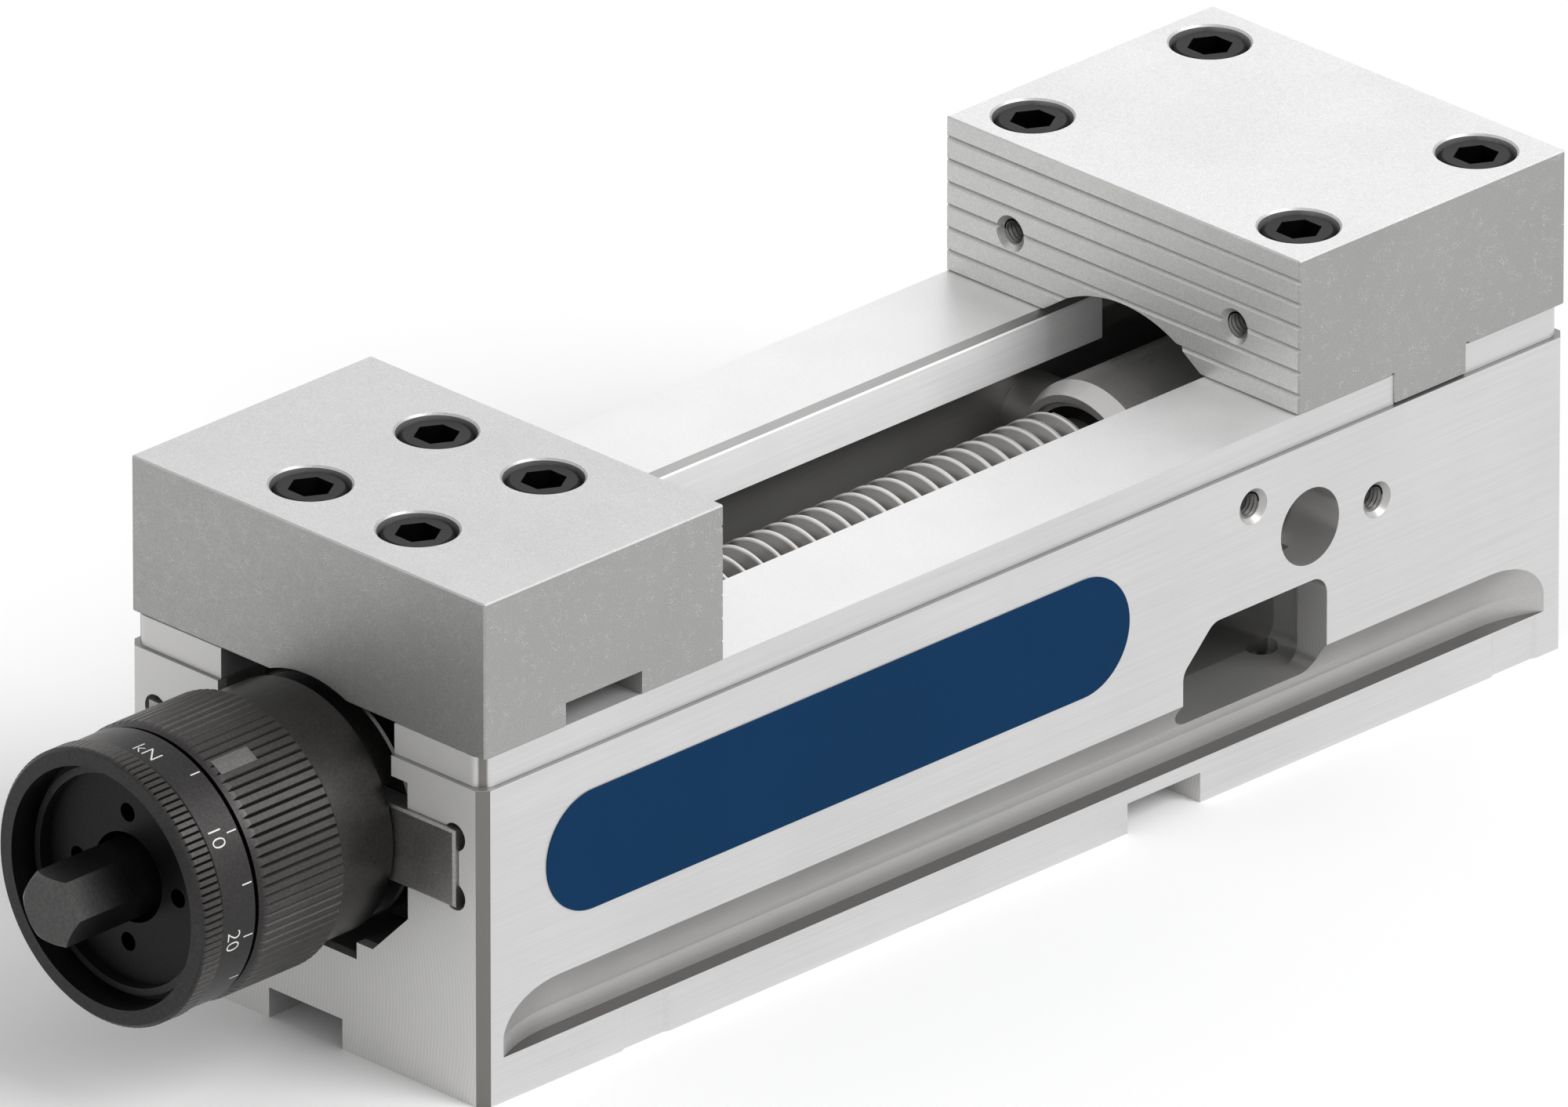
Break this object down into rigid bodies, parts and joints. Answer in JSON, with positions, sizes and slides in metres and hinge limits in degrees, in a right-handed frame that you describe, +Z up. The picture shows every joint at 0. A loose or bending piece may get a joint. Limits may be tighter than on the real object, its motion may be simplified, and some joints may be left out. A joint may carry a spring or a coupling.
{
  "type": "machine vise",
  "caption": "Machine vise: a T-slotted base with a bolted fixed jaw, a screw-driven sliding jaw, and a turning head with a grip sleeve and force dial.",
  "frame": {"origin": "crossing of the two keyways, in the plane that the base stands on", "axes": "+X towards the flank with the label, +Y from the drive end to the fixed jaw, +Z up"},
  "size_m": [0.1213, 0.4553, 0.1325],
  "materials": {
    "ground_steel": "ground",
    "blasted_steel": "fine blasted, with ground tops",
    "turned_steel": "turned",
    "dark_steel": "burnished",
    "black_steel": "black oxide",
    "bronze": "machined",
    "black_plastic": "matte",
    "label_film": "satin film"
  },
  "bodies": {
    "base": {"base_body": "ground_steel", "fixed_jaw": "blasted_steel", "fixed_jaw_screws": "black_steel", "right_retaining_key": "dark_steel", "left_retaining_key": "dark_steel", "rear_support": "ground_steel", "rear_bush": "bronze", "cross_bolt": "turned_steel", "side_label": "label_film"},
    "slide": {"carriage": "ground_steel", "front_wiper": "black_plastic", "spindle_nut": "bronze", "nut_ring": "dark_steel", "moving_jaw": "blasted_steel", "moving_jaw_screws": "black_steel"},
    "spindle": {"lead_screw": "turned_steel", "spindle_housing": "dark_steel", "drive_shaft": "turned_steel", "clutch_balls": "turned_steel", "drive_key": "dark_steel", "disc_springs": "dark_steel", "grip_sleeve": "dark_steel", "face_disc": "black_steel", "thrust_washers": "turned_steel", "thrust_needles": "turned_steel", "needle_cage": "bronze"},
    "dial": {"force_dial": "dark_steel"}
  },
  "joints": [
    {"name": "spindle_turn", "type": "hinge", "parent": "base", "child": "spindle", "pos_m": [0, -0.231, 0.0612], "axis": [0, 1, 0], "range_deg": [0, 11724]},
    {"name": "jaw_travel", "type": "slide", "parent": "base", "child": "slide", "axis": [0, 1, 0], "range_m": [0, 0.1954]},
    {"name": "dial_turn", "type": "hinge", "parent": "spindle", "child": "dial", "pos_m": [0, -0.291, 0.0612], "axis": [0, -1, 0], "range_deg": [0, 180]}
  ],
  "couplings": [
    {"joint": "jaw_travel", "follows": "spindle_turn", "m_per_rad": 0.00095493}
  ]
}
